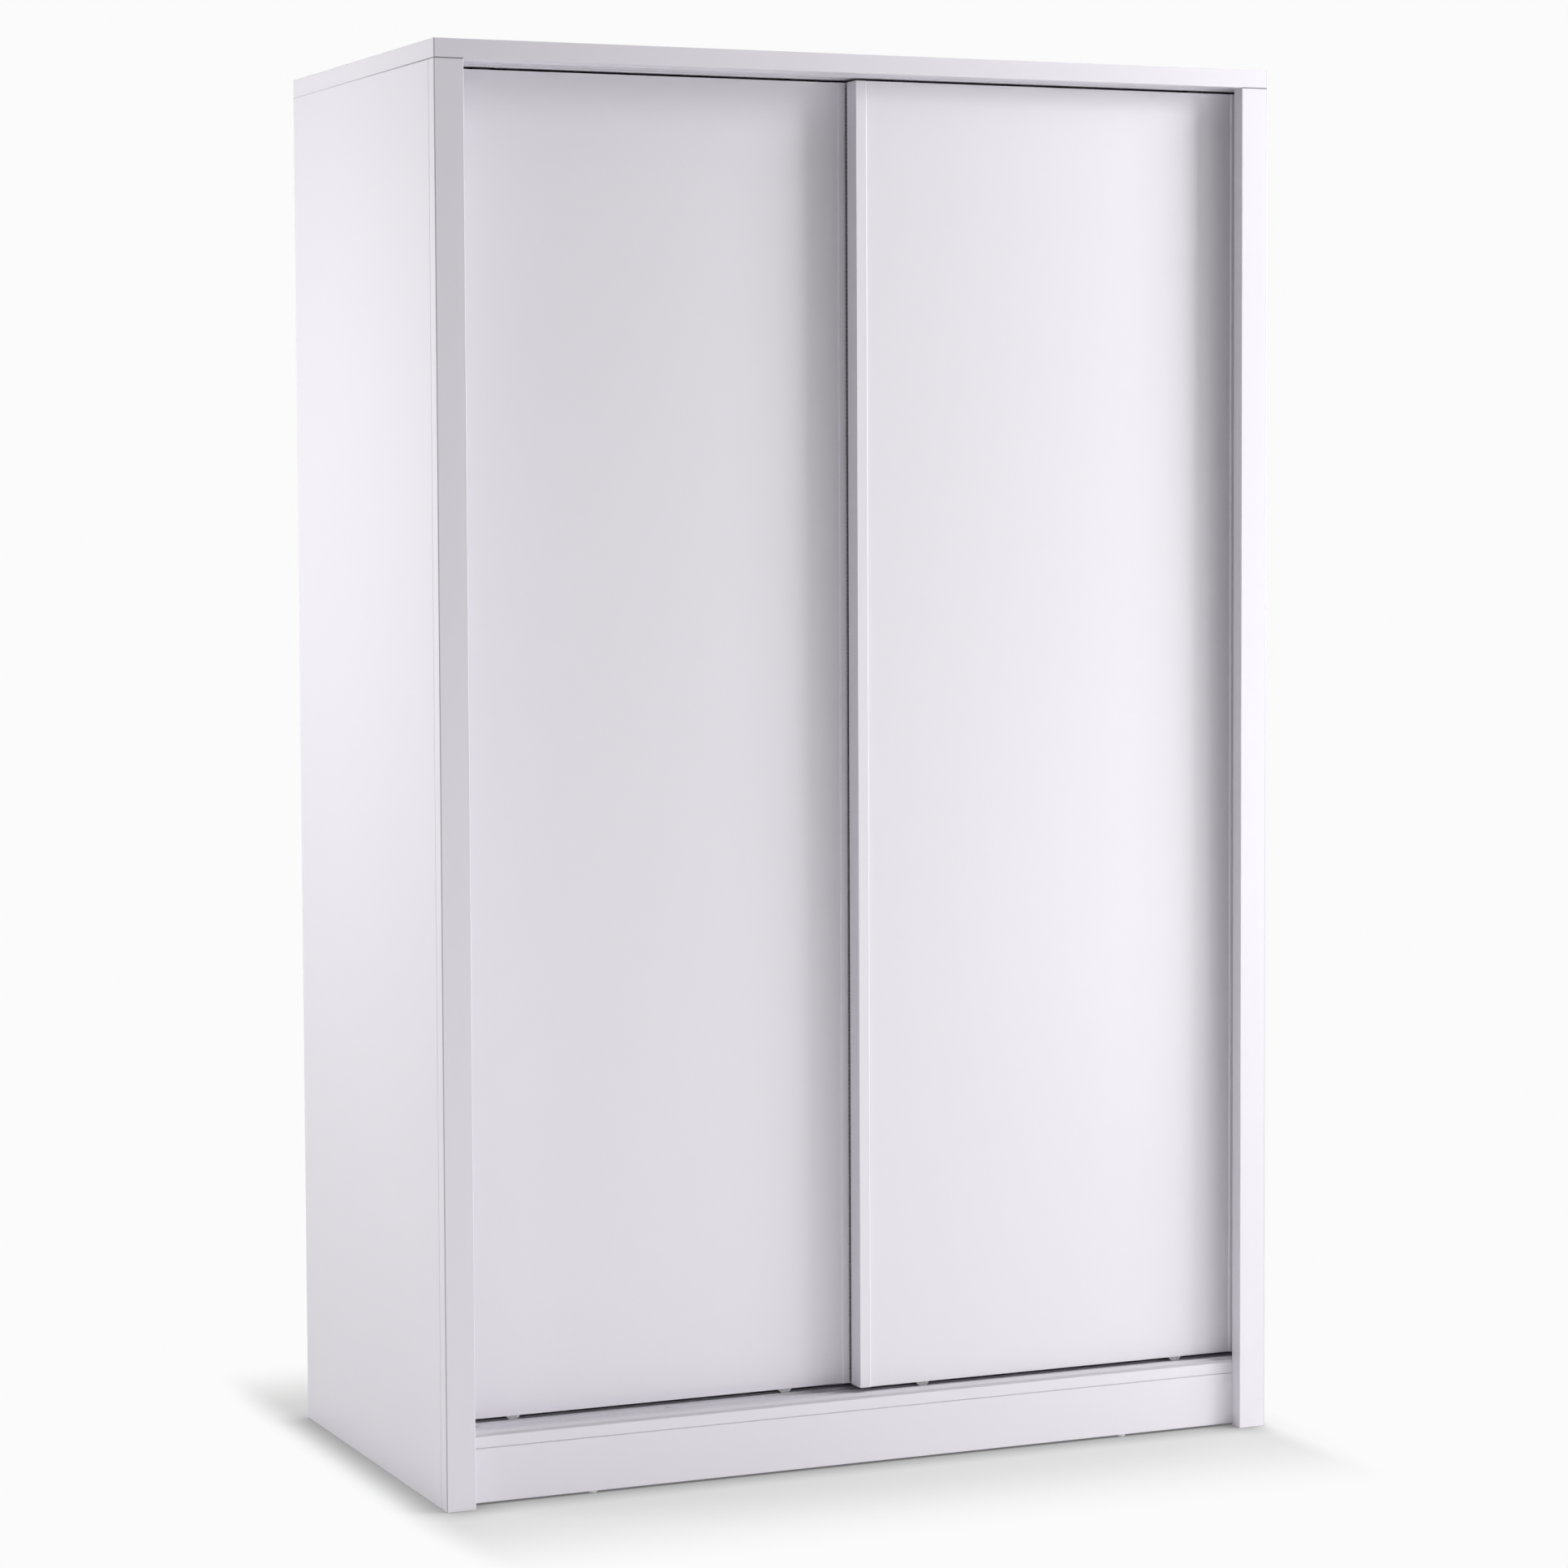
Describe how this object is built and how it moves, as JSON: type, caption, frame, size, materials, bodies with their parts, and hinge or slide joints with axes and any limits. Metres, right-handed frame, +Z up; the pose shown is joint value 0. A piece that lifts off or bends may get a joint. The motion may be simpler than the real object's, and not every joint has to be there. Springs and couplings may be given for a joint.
{
  "type": "sliding door wardrobe",
  "caption": "White wardrobe with gloss sliding doors on a bottom track, a hanging bay and a bay of shelves.",
  "frame": {"origin": "on the floor, under the middle of the carcass", "axes": "+X to the right as one faces the doors, +Y from the doors to the back, +Z up"},
  "size_m": [1.216, 0.617, 1.9],
  "materials": {
    "white_board": "white melamine, satin",
    "gloss_board": "white lacquer, high gloss",
    "white_profile": "white powder coat, satin",
    "white_track": "white powder coat, satin",
    "hardboard": "white painted face",
    "white_plastic": "moulded, satin",
    "nylon": "moulded nylon",
    "dark_plastic": "moulded, satin",
    "grey_plastic": "moulded, satin",
    "zinc_steel": "zinc plated",
    "beech": "raw beech",
    "rubber": "soft, translucent grey",
    "chrome_tube": "polished",
    "dark_pile": "woven pile"
  },
  "bodies": {
    "carcass": {"top_panel": "white_board", "left_side_panel": "white_board", "right_side_panel": "white_board", "left_front_stile": "white_board", "right_front_stile": "white_board", "base_panel": "white_board", "front_plinth": "white_board", "rear_plinth": "white_board", "plinth_brace": "white_board", "plinth_blocks": "beech", "floor_glides": "white_plastic", "bottom_track": "white_track", "track_screws": "zinc_steel", "front_upper_rail": "white_track", "rear_upper_rail": "white_track", "centre_partition": "white_board", "left_hat_shelf": "white_board", "right_hat_shelf": "white_board", "right_shelf_1": "white_board", "right_shelf_2": "white_board", "right_shelf_3": "white_board", "right_shelf_4": "white_board", "shelf_pins": "zinc_steel", "hanging_rail": "chrome_tube", "hanging_rail_sockets": "white_plastic", "left_back_panel": "hardboard", "right_back_panel": "hardboard", "back_joint_strip": "white_plastic", "back_nails": "zinc_steel", "door_buffers": "rubber", "cam_locks": "zinc_steel", "cam_bolts": "zinc_steel", "stile_dowels": "beech", "wall_brackets": "zinc_steel", "wall_bracket_screws": "zinc_steel"},
    "left_door": {"left_door_panel": "gloss_board", "left_door_left_profile": "white_profile", "left_door_right_profile": "white_profile", "left_door_left_roller_housing": "grey_plastic", "left_door_right_roller_housing": "grey_plastic", "left_door_left_top_guide": "dark_plastic", "left_door_right_top_guide": "dark_plastic", "left_door_axles": "zinc_steel", "left_door_screws": "zinc_steel"},
    "right_door": {"right_door_panel": "gloss_board", "right_door_left_profile": "white_profile", "right_door_right_profile": "white_profile", "right_door_left_roller_housing": "grey_plastic", "right_door_right_roller_housing": "grey_plastic", "right_door_left_top_guide": "dark_plastic", "right_door_right_top_guide": "dark_plastic", "right_door_axles": "zinc_steel", "right_door_screws": "zinc_steel", "brush_seal": "dark_pile"},
    "left_door_left_wheel_body": {"left_door_left_wheel": "nylon"},
    "left_door_right_wheel_body": {"left_door_right_wheel": "nylon"},
    "right_door_left_wheel_body": {"right_door_left_wheel": "nylon"},
    "right_door_right_wheel_body": {"right_door_right_wheel": "nylon"}
  },
  "joints": [
    {"name": "left_door_slide", "type": "slide", "parent": "carcass", "child": "left_door", "axis": [1, 0, 0], "range_m": [-0.0055, 0.5835]},
    {"name": "right_door_slide", "type": "slide", "parent": "carcass", "child": "right_door", "axis": [1, 0, 0], "range_m": [-0.589, 0]},
    {"name": "left_door_left_wheel_turn", "type": "hinge", "parent": "left_door", "child": "left_door_left_wheel_body", "pos_m": [-0.4855, -0.2195, 0.1028], "axis": [0, 1, 0], "continuous": true},
    {"name": "left_door_right_wheel_turn", "type": "hinge", "parent": "left_door", "child": "left_door_right_wheel_body", "pos_m": [-0.0925, -0.2195, 0.1028], "axis": [0, 1, 0], "continuous": true},
    {"name": "right_door_left_wheel_turn", "type": "hinge", "parent": "right_door", "child": "right_door_left_wheel_body", "pos_m": [0.098, -0.256, 0.1028], "axis": [0, 1, 0], "continuous": true},
    {"name": "right_door_right_wheel_turn", "type": "hinge", "parent": "right_door", "child": "right_door_right_wheel_body", "pos_m": [0.491, -0.256, 0.1028], "axis": [0, 1, 0], "continuous": true}
  ],
  "couplings": [
    {"joint": "left_door_left_wheel_turn", "follows": "left_door_slide", "rad_per_m": 100},
    {"joint": "left_door_right_wheel_turn", "follows": "left_door_slide", "rad_per_m": 100},
    {"joint": "right_door_left_wheel_turn", "follows": "right_door_slide", "rad_per_m": 100},
    {"joint": "right_door_right_wheel_turn", "follows": "right_door_slide", "rad_per_m": 100}
  ]
}
